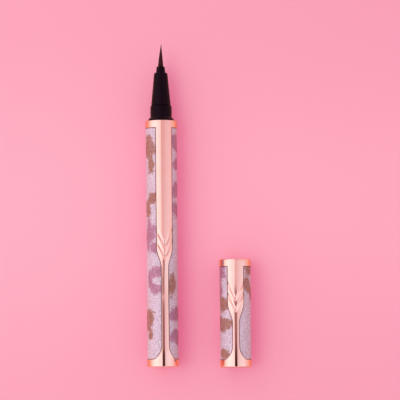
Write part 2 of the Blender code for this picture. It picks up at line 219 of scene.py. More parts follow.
def fill(tree, made, inputs):
    # A node's inputs: numbers and colours go straight in, and other nodes' sockets are linked.
    for key, value in dict(inputs).items():
        if isinstance(value, bpy.types.NodeSocket):
            tree.links.new(value, made.inputs[key])
        else:
            made.inputs[key].default_value = value


def node(tree, kind, inputs=(), **settings):
    # kind is a shader node's type without its common start.
    made = tree.nodes.new("ShaderNode" + kind)
    for key, value in settings.items():
        setattr(made, key, value)
    fill(tree, made, inputs)
    return made


def objectPlace(tree):
    return node(tree, "TexCoord").outputs["Object"]


def meshField(tree, name):
    return node(tree, "Attribute", attribute_name=name).outputs["Fac"]


def parted(tree, vector):
    return node(tree, "SeparateXYZ", {"Vector": vector}).outputs


def objectNoise(tree, scale, detail=2.0, roughness=0.5):
    inputs = {"Vector": objectPlace(tree), "Scale": scale, "Detail": detail, "Roughness": roughness}
    return node(tree, "TexNoise", inputs).outputs["Fac"]


def ranged(tree, value, low, high, toLow, toHigh, smooth=False):
    kind = "SMOOTHSTEP" if smooth else "LINEAR"
    inputs = {"Value": value, "From Min": low, "From Max": high, "To Min": toLow, "To Max": toHigh}
    return node(tree, "MapRange", inputs, interpolation_type=kind).outputs["Result"]


def mixed(tree, share, first, second, blend="MIX"):
    made = node(tree, "Mix", {"Factor": share}, data_type="RGBA", blend_type=blend)
    for key, value in (("A", first), ("B", second)):
        socket = next(s for s in made.inputs if s.name == key and s.type == "RGBA")
        if isinstance(value, bpy.types.NodeSocket):
            tree.links.new(value, socket)
        else:
            socket.default_value = (*value, 1.0)
    return next(s for s in made.outputs if s.type == "RGBA")


def ramp(tree, value, stops, unit=1):
    # Stops are (value in that unit, colour or grey), in rising order.
    first, last = stops[0][0], stops[-1][0]
    made = node(tree, "ValToRGB", {"Fac": ranged(tree, value, first * unit, last * unit, 0, 1)})
    elements = made.color_ramp.elements
    while len(elements) < len(stops):
        elements.new(0.5)
    for element, (at, colour) in zip(elements, stops):
        element.position = (at - first) / (last - first)
        element.color = (*np.broadcast_to(colour, 3), 1.0)
    return made.outputs["Color"]


def calculated(tree, operation, first, second=0.0):
    return node(tree, "Math", {0: first, 1: second}, operation=operation).outputs[0]


def times(tree, first, second):
    return calculated(tree, "MULTIPLY", first, second)


def dimmed(tree, colour, factor):
    return node(tree, "VectorMath", {0: colour, "Scale": factor}, operation="SCALE").outputs[0]


def bumped(tree, shader, height, distance, strength=1.0):
    made = node(tree, "Bump", {"Height": height, "Distance": distance, "Strength": strength})
    tree.links.new(made.outputs["Normal"], shader.inputs["Normal"])


plating = {
    "colour": (1.0, 0.64, 0.55),
    "deeper": (0.93, 0.56, 0.46),
    "deeperShare": 0.35, "deeperSpan": (0.35, 0.75),
    "roughness": (0.055, 0.09), "roughnessSpan": (0.3, 0.8),
    "smudge": 260, "peel": 900, "peelDepth": 0.0000008,
}


def platingMaterial():
    # Mirror-like rose-gold plating with faint smudges and slight orange peel.
    made, tree, shader = newMaterial("roseGoldPlating")
    smudge = objectNoise(tree, plating["smudge"], detail=3, roughness=0.6)
    share = ranged(tree, smudge, *plating["deeperSpan"], 0, plating["deeperShare"], smooth=True)
    fill(tree, shader, {
        "Base Color": mixed(tree, share, plating["colour"], plating["deeper"]),
        "Roughness": ranged(tree, smudge, *plating["roughnessSpan"], *plating["roughness"]),
        "Metallic": 1.0,
    })
    bumped(tree, shader, objectNoise(tree, plating["peel"], detail=1), plating["peelDepth"])
    return made, "rose_gold_plating"


glitterLook = {
    "lavender": (0.655, 0.455, 0.565),
    "pale": (0.86, 0.72, 0.81),
    "copper": (0.368, 0.116, 0.066),
    "mauve": (0.450, 0.138, 0.245),
    # edge is a painted shade: the brown that darkens the glitter near a window's edge, where the casing's
    # wall shades it
    "edge": (0.27, 0.105, 0.085),
    "paleFrom": 0.3, "paleShare": (0.05, 0.42), "cover": (0.66, 1.0),
    "grain": 2500, "flake": 5200, "outline": 330,
    "outlineBend": 1.5, "outlineGrit": 0.42, "outlineSoft": (-0.10, 0.12),
    "fineShade": (0.66, 1.17), "coarseShade": (0.86, 1.11),
    "metallic": 0.25, "roughness": (0.38, 0.62), "tiltDepth": 0.00004, "tiltStrength": 0.8,
}


def cellShades(tree, perMetre):
    # Three random numbers for each small cell, as Red, Green and Blue
    cells = node(tree, "TexVoronoi", {"Vector": objectPlace(tree), "Scale": perMetre})
    return node(tree, "SeparateColor", {"Color": cells.outputs["Color"]}).outputs


def glitterMaterial():
    # Fine glitter: each small cell has its own shade and tilt. Two fields on the mesh place the blotches,
    # slow noise bends their outlines, and the grain makes them gritty.
    look = glitterLook
    made, tree, shader = newMaterial("lavenderGlitter")
    grain, flake = cellShades(tree, look["grain"]), cellShades(tree, look["flake"])
    noise = calculated(tree, "SUBTRACT", objectNoise(tree, look["outline"]), 0.5)
    bend = times(tree, noise, look["outlineBend"])
    grit = times(tree, calculated(tree, "SUBTRACT", grain["Red"], 0.5), look["outlineGrit"])
    wander = calculated(tree, "ADD", bend, grit)
    paleShare = ranged(tree, grain["Green"], look["paleFrom"], 1.0, *look["paleShare"])
    colour = mixed(tree, paleShare, look["lavender"], look["pale"])
    cover = ranged(tree, grain["Green"], 0, 1, *look["cover"])
    for tint in ("mauve", "copper"):
        value = calculated(tree, "ADD", meshField(tree, tint + "Field"), wander)
        inside = ranged(tree, value, *look["outlineSoft"], 0, 1, smooth=True)
        colour = mixed(tree, times(tree, inside, cover), colour, look[tint])
    # Painted shade: near the windows' edges the glitter is darkened towards brown, as if shaded by the
    # casing's wall.
    paintedShade = mixed(tree, meshField(tree, "paintedEdgeShadeField"), (1.0, 1.0, 1.0), look["edge"])
    colour = mixed(tree, 1.0, colour, paintedShade, "MULTIPLY")
    fine = ranged(tree, flake["Red"], 0, 1, *look["fineShade"])
    coarse = ranged(tree, grain["Blue"], 0, 1, *look["coarseShade"])
    fill(tree, shader, {
        "Base Color": dimmed(tree, colour, times(tree, fine, coarse)),
        "Metallic": look["metallic"],
        "Roughness": ranged(tree, flake["Green"], 0, 1, *look["roughness"]),
    })
    height = calculated(tree, "ADD", flake["Blue"], grain["Blue"])
    bumped(tree, shader, height, look["tiltDepth"], look["tiltStrength"])
    return made, "lavender_glitter"


plasticLook = {
    "grain": 1600, "grainSpan": (0.2, 0.8), "grainDepth": 0.000004, "glossSpread": (-0.06, 0.08),
    "mottle": 180, "mottleSpan": (0.3, 0.7), "mottleShare": 0.24,
}


def plasticMaterial(name, slot, colour, roughness, specular=0.5, sheen=(1.0, 1.0, 1.0)):
    # Moulded plastic: slow mottling, and a fine grain in gloss and surface. The sheen tints its highlights.
    look = plasticLook
    made, tree, shader = newMaterial(name)
    grain = objectNoise(tree, look["grain"], detail=3, roughness=0.6)
    mottle = ranged(tree, objectNoise(tree, look["mottle"]), *look["mottleSpan"], 0, 1, smooth=True)
    darker = [part * (1 - look["mottleShare"]) for part in colour]
    glossy, dull = [roughness + spread for spread in look["glossSpread"]]
    fill(tree, shader, {
        "Base Color": mixed(tree, mottle, colour, darker),
        "Roughness": ranged(tree, grain, *look["grainSpan"], glossy, dull),
        "Specular IOR Level": specular,
        "Specular Tint": (*sheen, 1.0),
    })
    bumped(tree, shader, grain, look["grainDepth"])
    return made, slot


feltLook = {
    "dark": (0.035, 0.014, 0.013),
    "pale": (0.16, 0.09, 0.085),
    "stretch": (6000, 300, 6000), "roughness": 0.85, "depth": 0.00003,
}


def feltMaterial():
    # Ink-soaked fibres that run along the pen: noise stretched lengthwise.
    made, tree, shader = newMaterial("inkFelt")
    inputs = {"Vector": objectPlace(tree), "Scale": feltLook["stretch"]}
    stretched = node(tree, "Mapping", inputs).outputs["Vector"]
    fibre = node(tree, "TexNoise", {"Vector": stretched, "Scale": 1.0, "Detail": 3.0}).outputs["Fac"]
    fill(tree, shader, {
        "Base Color": mixed(tree, fibre, feltLook["dark"], feltLook["pale"]),
        "Roughness": feltLook["roughness"],
    })
    bumped(tree, shader, fibre, feltLook["depth"])
    return made, "ink_felt"


steelLook = {
    "dark": (0.52, 0.52, 0.53),
    "bright": (0.72, 0.72, 0.73),
    "roughness": (0.16, 0.32), "grain": 2400, "grainSpan": (0.2, 0.8), "depth": 0.000003,
}


def steelMaterial():
    # Plain steel with a fine grain in its colour, gloss and surface
    made, tree, shader = newMaterial("steel")
    grain = objectNoise(tree, steelLook["grain"], detail=3, roughness=0.6)
    fill(tree, shader, {
        "Base Color": mixed(tree, grain, steelLook["dark"], steelLook["bright"]),
        "Roughness": ranged(tree, grain, *steelLook["grainSpan"], *steelLook["roughness"]),
        "Metallic": 1.0,
    })
    bumped(tree, shader, grain, steelLook["depth"])
    return made, "steel"


roseGold = platingMaterial()
glitter = glitterMaterial()
blackPlastic = plasticMaterial(
    "blackPlastic", "black_plastic", (0.0034, 0.0008, 0.0020),
    roughness=0.28, specular=0.11, sheen=(1.0, 0.55, 0.82),
)
whitePlastic = plasticMaterial("whitePlastic", "white_plastic", (0.78, 0.77, 0.74), roughness=0.42)
tankPlastic = plasticMaterial("tankPlastic", "tank_plastic", (0.62, 0.64, 0.67), roughness=0.22)
sealRubber = plasticMaterial("sealRubber", "soft_seal", (0.035, 0.034, 0.034), roughness=0.72, specular=0.3)
inkFelt = feltMaterial()
steel = steelMaterial()
print("materials ready")


# Plated casing: two rings joined by a front and a back spine, as one closed shell

casing = {
    "bore": 5.75, "lip": 5.2, "lipHeight": 0.8, "ring": 2.8, "edge": 0.09, "footRound": 0.2,
    "spineHalf": 3.12, "flareSpread": 2.88, "flareHeight": 5.6,
    "spineColumns": 31, "windowColumns": 40, "headSteps": 7, "faceSteps": 3, "sharpDegrees": 42,
    "edgeRows": (1.0, 0.6, 0.3, 0.1), "footRows": (0, 0.1, 0.3, 0.6, 1.0), "edgeColumns": (0, 0.15, 0.4, 0.7),
    "arm": math.tan(math.radians(64.0)), "tipBlunt": 0.12,
    "reliefBelow": 2.2, "reliefAbove": 3.8,
    "shearBelow": 7, "shearAbove": 4.6, "shearRounds": 30,
}
barrelCasing = {
    "stemHalf": 1.38, "neckFoot": 38.6, "neckHeight": 8.0, "headRound": 0.2, "stemDip": 0.032,
    "tips": (41.2, 45.45), "veeStretch": 1.0, "veeStrength": 1.6, "shearTop": 14.0,
}
capCasing = {
    "stemHalf": 1.22, "neckFoot": 17.0, "neckHeight": 8.0, "headRound": 0.4, "stemDip": 0.0,
    "tips": (20.95, 25.3), "veeStretch": 0.68, "veeStrength": 2.3, "shearTop": 8.0,
}


def spineHalfWidth(height, own, inset=0.0):
    # Half the spine's width at a height: an arc out of the foot ring, the stem, a cosine S, the wide part.
    radius = (casing["flareHeight"] ** 2 + casing["flareSpread"] ** 2) / (2 * casing["flareSpread"])
    rise = np.clip(casing["ring"] + casing["flareHeight"] - height, 0, casing["flareHeight"] - inset)
    flare = own["stemHalf"] + radius - np.sqrt((radius - inset) ** 2 - rise**2)
    along = np.clip((height - own["neckFoot"]) / own["neckHeight"], 0, 1)
    neck = (casing["spineHalf"] - own["stemHalf"]) * (1 - np.cos(math.pi * along)) / 2
    return np.where(along > 0, own["stemHalf"] + neck + inset, flare)


chevron = {
    "above": (3.9, 3.3, 2.3, 1.9, 1.6, 0.45, 0.1, 0.0, -0.1, -0.45, -0.65, -1.0, -1.9, -2.1),
    "slope": (0.0, 0.06, 0.10, 0.0, -0.07, -0.12, -0.12, 0.0, 0.05, 0.05, 0.0, -0.008, -0.008, 0.0),
    "step": 0.01, "dipLength": 13.0, "returnLength": 22.0,
}


def reliefDepth(row, own):
    # Depth of the chevrons. Each is a slope profile down the middle line: a long fall, a scoop that climbs
    # steeply to a crest at the tip, and a short fall below it. The depth is the slopes' running sum.
    # veeStretch scales it along the line, and veeStrength deepens it.
    # Under the last tip of a long stem the metal dips a little and comes back slowly.
    above, step = own["veeStretch"] * np.array(chevron["above"]), chevron["step"]
    fine = np.arange(above[0], above[-1], -step)
    depth = np.cumsum(np.interp(-fine, -above, chevron["slope"])) * step
    depth -= np.linspace(0, depth[-1], len(depth))
    depth = np.clip(depth, 0, None) * own["veeStrength"]
    total = sum(np.interp(row - tip, fine[::-1], depth[::-1], left=0, right=0) for tip in own["tips"])
    below = (own["tips"][0] - row).clip(0)
    dipLength = chevron["dipLength"]
    deepest = own["stemDip"] * dipLength / 2
    falling = deepest * (1 - (1 - np.clip(below / dipLength, 0, 1)) ** 2)
    returning = np.clip(1 - (below - dipLength) / chevron["returnLength"], 0, 1)
    return total + falling * np.where(below > dipLength, returning, 1)


# Steps between rows, the least of them, and how far some parts' ends lie from their marks
rowStep = {
    "ring": 0.5, "flare": 0.12, "stem": 1.0, "nearTips": 0.2, "relief": 0.06, "aboveTips": 0.35,
    "wide": 1.5, "head": 0.4, "least": 0.012,
}
rowStart = 0.8
rowShort = {"ring": 0.1, "head": 0.05, "tips": 6}


def casingRows(own, length):
    # Heights of the grid's rows, close together where the outline turns or the relief changes.
    ring, edge, flareHead = casing["ring"], casing["edge"], casing["ring"] + casing["flareHeight"]
    low, high = own["tips"]
    reliefFoot, reliefHead = low - casing["reliefBelow"], high + casing["reliefAbove"]
    shearEnd, headRing = high + casing["shearAbove"] + own["shearTop"], length - ring
    spans = {
        "ring": (rowStart, ring - edge - rowShort["ring"]),
        "flare": (ring, flareHead),
        "stem": (flareHead, low - rowShort["tips"]),
        "nearTips": (low - rowShort["tips"], reliefFoot),
        "relief": (reliefFoot, reliefHead),
        "aboveTips": (reliefHead, min(shearEnd, headRing)),
        "wide": (shearEnd, headRing),
        "head": (headRing + rowStep["head"], length - own["headRound"] - rowShort["head"]),
    }
    soft, foot = edge * np.array(casing["edgeRows"]), casing["footRound"] * np.array(casing["footRows"])
    even = [np.arange(start, end, rowStep[part]) for part, (start, end) in spans.items()]
    rows = np.hstack([foot, ring - soft, [headRing], headRing + soft, *even])
    rows = np.unique(np.round(rows, 4))
    return rows[np.hstack([True, np.diff(rows) > rowStep["least"]])]


def casingPiece(name, own, place, body, replaced):
    length, radius = place["length"], place["radius"]
    ring, edge, headRing = casing["ring"], casing["edge"], length - casing["ring"]
    blunt, faceSteps = casing["tipBlunt"], casing["faceSteps"]
    low, high = own["tips"]
    rows = casingRows(own, length)
    turn = np.linspace(0, math.pi / 2, casing["headSteps"])
    headRadius = radius - own["headRound"] * (1 - np.cos(turn))
    headRows = length - own["headRound"] * (1 - np.sin(turn))
    annulus = np.linspace(radius - own["headRound"], casing["lip"], faceSteps + 1)[1:]
    row = np.hstack([rows, headRows, np.full(faceSteps, length)])
    rowRadius = radius - edgeDrop(row, casing["footRound"])
    rowRadius[len(rows):] = np.hstack([headRadius, annulus])

    # Columns: a spine's follow its edges, and a window's are even in angle between them. Rows of the spine
    # are sheared into the V's arms, in rounds, because the width that lifts them depends on the height.
    soft = edge * np.array(casing["edgeColumns"])
    inner = np.linspace(-1, 1, casing["spineColumns"])
    slope = np.hstack([-np.ones(len(soft)), inner, np.ones(len(soft))])
    shift = np.hstack([soft, -inner * edge, -soft[::-1]])
    spineCount = len(slope)
    fade = high + casing["shearAbove"]
    marks = [low - casing["shearBelow"], low - casing["reliefBelow"], fade, fade + own["shearTop"]]
    shear = np.interp(row, marks, [0, 1, 1, 0])
    height = np.repeat(row[:, None], spineCount, 1)
    for _ in range(casing["shearRounds"]):
        x = slope * spineHalfWidth(height, own) + shift
        lift = np.sqrt(x**2 + blunt**2) - blunt
        height = row[:, None] + shear[:, None] * casing["arm"] * lift
    half = spineHalfWidth(height, own)
    inWindow = (row >= ring - tiny) & (row <= headRing + tiny)
    gapHeight = np.maximum(ring - height, height - headRing).clip(0)
    gapAcross = (half - np.abs(x)).clip(0)
    distance = np.where(inWindow[:, None], gapAcross, np.hypot(gapHeight, gapAcross))
    carved = rowRadius[:, None] - edgeDrop(distance, edge) - reliefDepth(row, own)[:, None]
    spineAngle = np.arcsin(x / radius)

    share = np.linspace(0, 1, casing["windowColumns"] + 2)[1:-1]
    start = spineAngle[:, -1:]
    windowAngle = start + (math.pi - 2 * start) * share
    windowHeight = np.repeat(row[:, None], len(share), 1)
    ringDistance = np.maximum(ring - row, row - headRing).clip(0)
    windowRadius = np.repeat((rowRadius - edgeDrop(ringDistance, edge))[:, None], len(share), 1)

    angle = np.hstack([spineAngle, windowAngle, spineAngle + math.pi, windowAngle + math.pi])
    heights = np.hstack([height, windowHeight, height, windowHeight])
    outer = np.hstack([carved, windowRadius, carved, windowRadius])
    innerHeight = np.minimum(heights, length - casing["lipHeight"])
    bore = np.clip(rowRadius, casing["lip"], casing["bore"])
    bore[: len(rows)] = casing["bore"]
    innerRadius = np.repeat(bore[:, None], angle.shape[1], 1)
    points = np.concatenate([around(outer, angle, heights), around(innerRadius, angle, innerHeight)])

    spine = np.zeros(angle.shape[1], bool)
    spine[: spineCount - 1] = True
    spine[spineCount + len(share): 2 * spineCount + len(share) - 1] = True
    middle = (row[:-1] + row[1:]) / 2
    solidRow = (middle < ring) | (middle > headRing)
    mesh = skin(name, points, shellQuads(solidRow[:, None] | spine, True), place)
    closeUp(mesh, casing["sharpDegrees"])
    print(name, len(mesh.polygons), "faces")
    return piece(mesh, roseGold, body, replaced)


casingPiece("barrelCasing", barrelCasing, penPlace, "pen", "barrel_cage")
casingPiece("capCasing", capCasing, capPlace, "cap", "cap_cage")


# Glitter panels in the windows

panel = {
    # shade is how far from a window's edge the painted shade reaches
    "recess": 0.12, "gap": 0.03, "edge": 0.06, "shade": 0.45, "columns": 34,
    "soft": (0, 0.01, 0.03, 0.06, 0.13, 0.23, 0.34, 0.45),
    "firstRow": 0.57, "lastRow": 0.55, "flareStep": 0.12, "rowStep": 0.4,
}
# Blotches as (degrees from the front, height, half width in degrees, half height, lean in degrees per mm)
barrelBlotches = {
    "copper": [
        (-66, 86, 34, 4.6, 1.5), (-52, 79, 15, 3.4, 1), (-48, 66, 26, 2.6, 2), (-74, 62, 20, 3.6, 0),
        (-76, 17.5, 30, 4.8, 1), (-62, 13, 14, 2.4, 0), (30, 32.2, 19, 4.4, 0), (122, 74, 26, 4.6, 0.8),
        (-128, 50, 26, 5, -0.8), (128, 20, 24, 4.5, 0.5), (-122, 30, 18, 3.5, 0),
    ],
    "mauve": [
        (-58, 52, 32, 3.4, 2), (-42, 46.5, 20, 2.6, 0), (-66, 56.5, 12, 2.4, 0), (-72, 48, 12, 3, 0),
        (-32, 37, 24, 2.2, 0), (-62, 35, 12, 3, 0), (-38, 30.4, 27, 2.2, -3), (56, 88, 26, 3.8, -2),
        (62, 79.5, 34, 2.9, 2.5), (54, 69.5, 24, 3.4, 0), (60, 61.5, 36, 3.1, -2), (50, 20.5, 32, 3, 0),
        (52, 11.6, 36, 3, 0), (-124, 68, 22, 4, 0.6), (116, 48, 24, 4.2, 0), (-128, 12, 22, 4, 0),
        (126, 33, 18, 3, 0),
    ],
}
capBlotches = {
    "copper": [
        (-58, 24.6, 30, 3.2, 0), (-54, 16.6, 42, 2.9, -2), (-50, 5, 26, 2.2, -6), (64, 38.2, 30, 2.4, 0),
        (52, 32, 22, 3.4, -2), (72, 28.6, 12, 2.2, 0), (128, 15, 24, 4, 0), (-128, 30, 22, 3.6, 0),
    ],
    "mauve": [
        (-74, 37, 34, 3.4, 0), (-76, 30, 20, 2.6, 0), (122, 27, 22, 3.4, 0), (-126, 12, 24, 4.2, 0),
    ],
}


def blotchField(angle, height, blotches):
    # The largest of (1 - distance in units of the blotch's half sizes), so zero lies on an outline.
    degrees = np.degrees((angle + math.pi) % (2 * math.pi) - math.pi)
    fields = [
        1 - np.hypot((degrees - at - lean * (height - middle)) / wide, (height - middle) / tall)
        for at, middle, wide, tall, lean in blotches
    ]
    return np.max(fields, axis=0)


def glitterPanel(name, own, place, side, blotches, body, replaced):
    radius = place["radius"] - panel["recess"]
    foot, head = casing["ring"] + panel["gap"], place["length"] - casing["ring"] - panel["gap"]
    soft, flareHead = np.array(panel["soft"]), foot + casing["flareHeight"]
    rows = np.concatenate([
        foot + soft,
        np.arange(foot + panel["firstRow"], flareHead, panel["flareStep"]),
        np.arange(flareHead, head - panel["lastRow"], panel["rowStep"]),
        head - soft[::-1],
    ])
    start = np.arcsin(spineHalfWidth(rows, own, panel["gap"])[:, None] / radius)
    softAngle = soft / radius
    share = np.linspace(0, 1, panel["columns"])
    across = (start + softAngle[-1]) + (math.pi - 2 * start - 2 * softAngle[-1]) * share
    angle = np.hstack([start + softAngle[:-1], across, math.pi - start - softAngle[:-1][::-1]])
    height = np.repeat(rows[:, None], angle.shape[1], 1)
    toEnd = np.minimum(height - foot, head - height)
    toEdge = np.minimum(toEnd, np.minimum(angle - start, math.pi - start - angle) * radius)
    outer = radius - edgeDrop(toEdge, panel["edge"])
    angle = angle * side
    points = np.concatenate([around(outer, angle, height), around(casing["bore"] + 0 * angle, angle, height)])
    kept = np.ones((len(rows) - 1, angle.shape[1] - 1), bool)
    mesh = skin(name, points, shellQuads(kept, False), place)
    for tint in ("copper", "mauve"):
        writeField(mesh, tint + "Field", np.tile(blotchField(angle, height, blotches[tint]), (2, 1)))
    # The painted shade's field: one at the window's edge, falling to nothing at panel["shade"] from it
    writeField(mesh, "paintedEdgeShadeField", np.tile(np.clip(1 - toEdge / panel["shade"], 0, 1), (2, 1)))
    closeUp(mesh)
    return piece(mesh, glitter, body, replaced)


for side, word in ((-1, "left"), (1, "right")):
    for which, own, place, blotches, body in (
        ("barrel", barrelCasing, penPlace, barrelBlotches, "pen"),
        ("cap", capCasing, capPlace, capBlotches, "cap"),
    ):
        name = which + "Panel" + word.title()
        glitterPanel(name, own, place, side, blotches, body, f"{which}_panel_{word}")
print("panels ready")


# Black front end

nose = {
    "flange": 5.1, "flangeRise": 0.75, "shoulder": (0.25, 0.2), "shoulderRise": 1.6, "rim": 0.1,
    "collar": 4.19, "collarSwell": 0.08, "collarRise": 6.1, "collarRound": 0.14,
    "skirtBore": 4.5, "skirtLength": 15.9, "web": 0.9,
    "coneFoot": 3.87, "coneHead": 2.69, "coneRise": 19.35, "coneBore": 1.94, "coneRound": 0.1,
    "coneRounding": 0.6, "coneBulge": 0.3, "coneChamfer": 0.2,
    "ringLines": (17.0, 14.6), "ringLine": 0.05,
    "spigot": 3.0, "spigotBore": 3.1, "spigotLength": 6.4,
    "holder": 1.84, "holderTip": 1.64, "holderRise": 21.7, "holderBore": 1.14, "holderLength": 18.6,
    "chamfer": 0.15, "gap": 0.1,
}
lip = penPlace["length"]


def frontEnd():
    own = nose
    rise = lambda value: lip + value
    inward, upward = own["shoulder"]
    chamfer, gap = own["chamfer"], own["gap"]
    collarHead, skirtFoot = rise(own["collarRise"]), rise(-own["skirtLength"])
    webFoot = collarHead + gap - own["spigotLength"] - own["web"]
    collar = [
        (own["collar"] - chamfer, collarHead),
        (own["collar"], rise(own["collarRise"] - chamfer)),
        (own["collar"] + own["collarSwell"], rise((own["shoulderRise"] + own["collarRise"]) / 2)),
        (own["collar"], rise(own["shoulderRise"])),
        (own["flange"] - inward, rise(own["flangeRise"] + upward)),
        (own["flange"], rise(own["flangeRise"] - own["rim"])),
        *stepped(own["flange"], skirtFoot, own["skirtBore"], webFoot, own["spigotBore"], collarHead),
    ]
    turned("frontCollar", collar, penPlace, blackPlastic, "pen", "front_collar", own["collarRound"])

    # The cone: its rounded head, two fine grooves square to its side, its foot and its spigot
    foot, head = collarHead + gap, rise(own["coneRise"])
    rounding, bulge = own["coneRounding"], own["coneRounding"] * own["coneBulge"]
    slope = (own["coneHead"] - own["coneFoot"]) / (own["coneRise"] - rounding - own["collarRise"])
    cone = [
        (own["coneBore"], head),
        (own["coneHead"] - rounding, head),
        (own["coneHead"] - bulge, head - bulge),
        (own["coneHead"], head - rounding),
    ]
    half = own["ringLine"]
    for line in own["ringLines"]:
        side = own["coneFoot"] + slope * (line - own["collarRise"])
        cone += [
            (side - slope * half, rise(line + half)),
            (side - half, rise(line)),
            (side + slope * half, rise(line - half)),
        ]
    bevel, spigotFoot = own["coneChamfer"], foot - own["spigotLength"]
    cone.append((own["coneFoot"], foot + bevel))
    cone += stepped(own["coneFoot"] - bevel, foot, own["spigot"], spigotFoot, own["coneBore"])
    turned("noseCone", cone, penPlace, blackPlastic, "pen", "nozzle_cone", own["coneRound"])

    top = rise(own["holderRise"])
    holder = [
        (own["holderTip"] - chamfer, top),
        (own["holderTip"], top - chamfer),
        (own["holder"], head + gap),
        *stepped(own["holder"], top - own["holderLength"], own["holderBore"], top),
    ]
    turned("brushHolder", holder, penPlace, blackPlastic, "pen", "brush_holder")


frontEnd()
print("front end ready")


# Brush: many tapered filaments that lean to one point

brushLook = {
    "strands": 700, "sides": 5, "steps": 14, "seed": 11,
    "radius": 1.1, "tip": 0.03, "length": 9.0, "gap": 0.1, "sunk": 0.4,
    "lean": 0.27, "bulge": 0.06, "wander": 0.015, "waves": 9, "phase": 6,
    "thickness": 0.052, "taper": 0.72, "close": 0.98, "shorter": 0.30, "shorterPower": 1.5,
    "dark": (0.024, 0.003, 0.004),
    "bright": (0.086, 0.013, 0.012),
    "roughness": 0.5, "specular": 0.15, "grain": 4000, "grainDepth": 0.000003,
}
brushFoot = lip + nose["holderRise"] + brushLook["gap"]


def bristleMaterial():
    # Satin hairs, each with a brown of its own
    look = brushLook
    made, tree, shader = newMaterial("brownBristle")
    fill(tree, shader, {
        "Base Color": mixed(tree, meshField(tree, "strandShade"), look["dark"], look["bright"]),
        "Roughness": look["roughness"],
        "Specular IOR Level": look["specular"],
    })
    bumped(tree, shader, objectNoise(tree, look["grain"], detail=1), look["grainDepth"])
    return made, "brown_bristle"


def brush():
    # A strand starts on a sunflower spiral over the root and follows a straight line that closes on the
    # middle, which leans to the right by the square of the height. Its ring of points shrinks to its end,
    # and strands near the rim end a little lower.
    look = brushLook
    count, sides, steps = look["strands"], look["sides"], look["steps"]
    chance = np.random.default_rng(look["seed"])
    index = np.arange(count) + 0.5
    spread = np.sqrt(index / count)
    turn = index * math.pi * (3 - math.sqrt(5))
    tops = 1 - look["shorter"] * spread * chance.random(count) ** look["shorterPower"]
    along = np.linspace(0, 1, steps)[:, None] * tops
    closing = (1 - (1 - look["tip"]) * along) * (look["radius"] - look["thickness"])
    away = closing * (1 + look["bulge"] * np.sin(math.pi * along)) * spread
    wander = look["wander"] * np.sin(along * look["waves"] + chance.random(count) * look["phase"])
    middleX = away * np.sin(turn + wander) + look["lean"] * along**2
    middleY = -away * np.cos(turn + wander)
    height = brushFoot - look["sunk"] * (along == 0) + along * look["length"]
    taper = look["thickness"] * (1 - look["taper"] * along / tops) * (1 - look["close"] * (along >= tops))
    sideTurn = np.linspace(0, 2 * math.pi, sides, endpoint=False)
    x = middleX[..., None] + taper[..., None] * np.sin(sideTurn)
    y = middleY[..., None] - taper[..., None] * np.cos(sideTurn)
    points = np.stack([x, y, height[..., None] + 0 * x], -1)
    step, side = np.divmod(ringQuads(steps, sides).reshape(steps - 1, 1, sides, 4), sides)
    quads = (step * count + np.arange(count)[:, None, None]) * sides + side
    mesh = skin("brushFilaments", points, quads.reshape(-1, 4), penPlace)
    writeField(mesh, "strandShade", np.tile(np.repeat(chance.random(count), sides), steps))
    closeUp(mesh, strands=True)
    return piece(mesh, bristle, "pen", "brush")


# The dense middle of the brush and its bound root inside the holder
brushMiddle = {
    "top": 0.65 * brushLook["length"],
    "shoulder": (0.28, 0.56 * brushLook["length"]),
    "foot": (0.86 * brushLook["radius"], 0.2),
    "rim": -0.3, "root": -6.2, "round": 0.05, "turns": 32,
}


def brushCore():
    own, radius = brushMiddle, brushLook["radius"]
    outline = [(0, own["top"]), own["shoulder"], own["foot"], (radius, own["rim"])]
    outline += stepped(radius, own["root"], 0)
    core = [(across, brushFoot + height) for across, height in outline]
    turned("brushCore", core, penPlace, bristleDark, "pen", "", own["round"], own["turns"])


bristle = bristleMaterial()
bristleDark = plasticMaterial("bristleCore", "brown_bristle", (0.022, 0.004, 0.005), 0.6, specular=0.15)
brush()
brushCore()
print("brush ready")


# Tail plug and the cap's end button

ends = {
    "disc": 5.65, "discHeight": 1.5,
    "spigot": 4.4, "spigotLength": 4.6, "plugRound": 0.15,
    "sealHeight": 3.7, "sealThickness": 0.84, "sealGap": 0.1,
    "button": 5.1, "dome": 0.3, "domeSteps": 12, "flangeFoot": 1.7, "flangeHead": 0.9, "buttonRound": 0.08,
}


def tailPlug():
    discHead, spigot, head = ends["discHeight"], ends["spigot"], ends["discHeight"] + ends["spigotLength"]
    half = ends["sealThickness"] / 2 + ends["sealGap"]
    groove = spigot - ends["sealThickness"] - ends["sealGap"]
    grooveHead, grooveFoot = ends["sealHeight"] + half, ends["sealHeight"] - half
    outline = stepped(0, head, spigot, grooveHead, groove, grooveFoot, spigot, discHead, ends["disc"], 0, 0)
    turned("tailPlug", outline, penPlace, roseGold, "pen", "tail_plug", ends["plugRound"])


def capEnd():
    # A button whose face is a very flat dome: its height falls by the square of the distance.
    length = capPlace["length"]
    across = np.linspace(0, 1, ends["domeSteps"]) * ends["button"]
    outline = list(zip(across, length + ends["dome"] * (1 - (across / ends["button"]) ** 2)))
    head, foot = length - ends["flangeHead"], length - ends["flangeFoot"]
    outline += stepped(ends["button"], head, ends["disc"], foot, 0)
    turned("capEndButton", outline, capPlace, roseGold, "cap", "cap_top_disc", ends["buttonRound"])


tailPlug()
capEnd()
print("ends ready")


# Inside the pen

